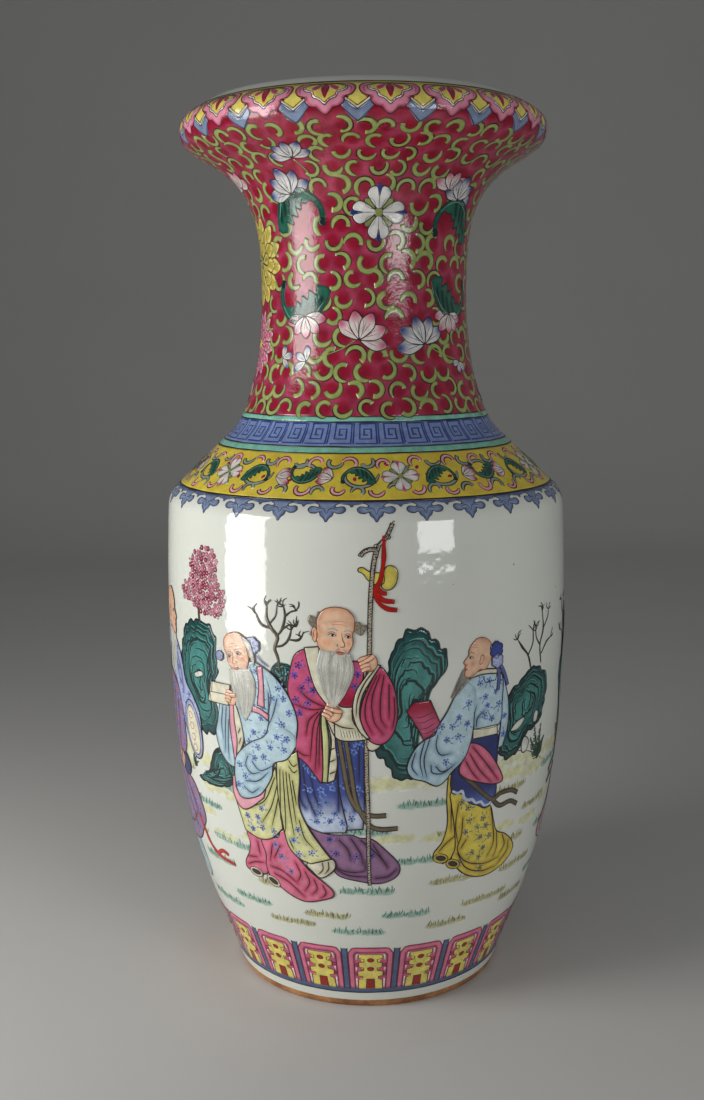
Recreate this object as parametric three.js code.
// A large porcelain baluster vase with an angular shoulder, a waisted neck and a rolled mouth.
// It is thrown in sections that are luted together with slip, glazed and fired, so each section,
// and each ring of slip in the groove between two sections, is a solid of its own.
// Units are millimetres, +Z is up, and the origin is the centre of the foot's standing face.
import * as THREE from "three";

// Driving dimensions.
const height = 580;
const bodyWall = 6.5;
const neckWall = 5.5;
const mouthWall = 4.6;
const segments = 40; // facets round the axis

// Where one thrown section ends and the next begins, as heights above the standing face.
const bellyJoint = 190;
const shoulderJoint = 316;
const neckJoint = 384;
const mouthJoint = 524;

// The luted joints: a slip ring lies in a groove cut into both faces.
const jointGap = 0.3; // between two faces that meet
const grooveWidth = 2.6;
const grooveDepth = 1.6; // into each face

// The foot and the slab that closes it.
const footOuter = 90.4;
const footInner = 81.5;
const footBevel = 1.4;
const slabRadius = 78;
const slabBottom = 9;
const slabTop = 17;

// Outer wall as [radius, height] points that a smooth curve runs through.
const bodyOutline = [
  [92, 3.2], [93.8, 9], [97, 19], [103.9, 37], [111.6, 58], [118.8, 82], [125, 110],
  [129.4, 140], [132.6, 172], [134.2, 206], [135.1, 243], [135, 278], [134, 308], [133.4, 321],
];
const shoulderOutline = [[133.4, 321], [132.6, 327.5], [129.9, 333], [125.6, 337.6]];
const shoulderSlope = [[125.6, 337.6], [87.4, 374.2]];
const neckOutline = [
  [87.4, 374.2], [82, 383], [76.2, 398], [71.4, 418], [68.7, 440], [67.8, 464],
  [68.4, 488], [71.2, 507], [77.4, 522.5], [85, 533], [96.6, 542.3], [109, 549.6],
  [116.4, 556], [118.7, 563], [116.4, 569.6], [108, 575.6],
];
const lipCentre = [100.4, height - 2.6];
const lipRadius = 2.6;

const ceramic = { porcelain: [0xe4e6dd, 0.22], biscuit: [0xd9cfbd, 0.8], slip: [0xcfc3ad, 0.9] };

function curvePoints(outline, count) {
  const curve = new THREE.SplineCurve(outline.map(([r, z]) => new THREE.Vector2(r, z)));
  return curve.getPoints(count);
}

function straightPoints(outline, count) {
  const [a, b] = outline.map(([r, z]) => new THREE.Vector2(r, z));
  return Array.from({ length: count + 1 }, (_, i) => a.clone().lerp(b, i / count));
}

// The whole outer wall from the foot to the lip.
function outerWall() {
  const runs = [
    curvePoints(bodyOutline, 15),
    curvePoints(shoulderOutline, 3),
    straightPoints(shoulderSlope, 2),
    curvePoints(neckOutline, 20),
  ];
  return runs.flatMap((run, i) => (i ? run.slice(1) : run));
}

// Wall thickness at a height: thick in the body, thinner towards the mouth.
function thicknessAt(z) {
  if (z < neckJoint) return bodyWall;
  const up = (z - neckJoint) / (height - neckJoint);
  return THREE.MathUtils.lerp(neckWall, mouthWall, up);
}

// The inner wall is the outer one moved in along its normal.
function innerWall(outer) {
  return outer.map((p, i) => {
    const ahead = outer[Math.min(i + 1, outer.length - 1)];
    const behind = outer[Math.max(i - 1, 0)];
    const along = ahead.clone().sub(behind).normalize();
    const inward = new THREE.Vector2(-along.y, along.x);
    return p.clone().addScaledVector(inward, thicknessAt(p.y));
  });
}

const outer = outerWall();
const inner = innerWall(outer);

// The radius of a wall where it crosses a height.
function radiusAt(wall, z) {
  const i = wall.findIndex((p, k) => k > 0 && p.y >= z && wall[k - 1].y < z);
  const [a, b] = [wall[i - 1], wall[i]];
  return THREE.MathUtils.lerp(a.x, b.x, (z - a.y) / (b.y - a.y));
}

// The stretch of a wall between two heights, with a point made at each end.
function stretch(wall, from, to) {
  const between = wall.filter((p) => p.y > from + 1.2 && p.y < to - 1.2);
  const end = (z) => new THREE.Vector2(radiusAt(wall, z), z);
  return [end(from), ...between, end(to)];
}

// The middle of the wall at a joint, where its groove and its slip ring are.
function jointMiddle(z) {
  return (radiusAt(outer, z) + radiusAt(inner, z)) / 2;
}

// A joint face crossed from one wall to the other, with the groove in it.
// side is 1 where the groove goes up into an upper section, and -1 where it goes down.
function jointFace(z, side) {
  const middle = jointMiddle(z);
  const face = z + (side * jointGap) / 2;
  const bottom = face + side * grooveDepth;
  const half = grooveWidth / 2;
  const points = [[middle + half, face], [middle + half, bottom], [middle - half, bottom], [middle - half, face]];
  return points.map(([r, h]) => new THREE.Vector2(r, h));
}

function latheMesh(name, profile, [colour, roughness]) {
  const closed = profile[0].x === 0 ? profile : [...profile, profile[0].clone()];
  const geometry = new THREE.LatheGeometry(closed, segments);
  geometry.rotateX(Math.PI / 2);
  const material = new THREE.MeshStandardMaterial({ color: colour, roughness, metalness: 0 });
  const mesh = new THREE.Mesh(geometry, material);
  mesh.name = name;
  return mesh;
}

// A section with a luted joint at both ends.
function middleSection(name, from, to) {
  const profile = [
    ...stretch(outer, from + jointGap / 2, to - jointGap / 2),
    ...jointFace(to, -1),
    ...stretch(inner, from + jointGap / 2, to - jointGap / 2).reverse(),
    ...jointFace(from, 1).reverse(),
  ];
  return latheMesh(name, profile, ceramic.porcelain);
}

// The lowest section: foot ring, seat for the slab, and the body up to the belly joint.
function lowerBody() {
  const seat = slabRadius + jointGap;
  const grooveMiddle = (slabBottom + slabTop) / 2;
  const half = grooveWidth / 2;
  const seatPoints = [
    [86, 21.5], [seat, slabTop], [seat, grooveMiddle + half], [seat + grooveDepth, grooveMiddle + half],
    [seat + grooveDepth, grooveMiddle - half], [seat, grooveMiddle - half], [seat, slabBottom],
    [seat + 1.2, slabBottom - 2], [footInner - 1, footBevel], [footInner, 0],
  ];
  const profile = [
    new THREE.Vector2(footOuter, 0),
    new THREE.Vector2(footOuter + footBevel, footBevel),
    ...stretch(outer, 3.3, bellyJoint - jointGap / 2),
    ...jointFace(bellyJoint, -1),
    ...stretch(inner, 30, bellyJoint - jointGap / 2).reverse(),
    ...seatPoints.map(([r, z]) => new THREE.Vector2(r, z)),
  ];
  return latheMesh("lower_body", profile, ceramic.porcelain);
}

// The slab that closes the foot, with half of its joint's groove in its edge.
function baseSlab() {
  const grooveMiddle = (slabBottom + slabTop) / 2;
  const half = grooveWidth / 2;
  const profile = [
    [0, slabBottom], [slabRadius, slabBottom], [slabRadius, grooveMiddle - half],
    [slabRadius - grooveDepth, grooveMiddle - half], [slabRadius - grooveDepth, grooveMiddle + half],
    [slabRadius, grooveMiddle + half], [slabRadius, slabTop], [0, slabTop],
  ].map(([r, z]) => new THREE.Vector2(r, z));
  return latheMesh("base_slab", profile, ceramic.biscuit);
}

// The rolled mouth, from its luted joint to the rounded lip.
function mouthSection() {
  const lip = Array.from({ length: 7 }, (_, i) => {
    const angle = THREE.MathUtils.degToRad(THREE.MathUtils.lerp(60, 240, i / 6));
    return new THREE.Vector2(
      lipCentre[0] + lipRadius * Math.cos(angle),
      lipCentre[1] + lipRadius * Math.sin(angle),
    );
  });
  const from = mouthJoint + jointGap / 2;
  const profile = [
    ...stretch(outer, from, 575.5),
    ...lip,
    ...stretch(inner, from, 569.5).reverse(),
    ...jointFace(mouthJoint, 1).reverse(),
  ];
  return latheMesh("mouth", profile, ceramic.porcelain);
}

// A ring of slip, smaller than the groove by the gap on every side.
function slipRing(name, middle, z, wide, tall) {
  const [w, h] = [wide / 2 - jointGap, tall / 2 - jointGap];
  const corners = [[middle - w, z - h], [middle + w, z - h], [middle + w, z + h], [middle - w, z + h]];
  return latheMesh(name, corners.map(([r, y]) => new THREE.Vector2(r, y)), ceramic.slip);
}

function jointRing(name, z) {
  return slipRing(name, jointMiddle(z), z, grooveWidth, 2 * grooveDepth + jointGap);
}

const vase = new THREE.Group();
vase.add(
  baseSlab(),
  lowerBody(),
  middleSection("upper_body", bellyJoint, shoulderJoint),
  middleSection("shoulder", shoulderJoint, neckJoint),
  middleSection("neck", neckJoint, mouthJoint),
  mouthSection(),
  slipRing("base_slip_ring", slabRadius + jointGap / 2, (slabBottom + slabTop) / 2,
    2 * grooveDepth + jointGap, grooveWidth),
  jointRing("belly_slip_ring", bellyJoint),
  jointRing("shoulder_slip_ring", shoulderJoint),
  jointRing("neck_slip_ring", neckJoint),
  jointRing("mouth_slip_ring", mouthJoint),
);

export default vase;
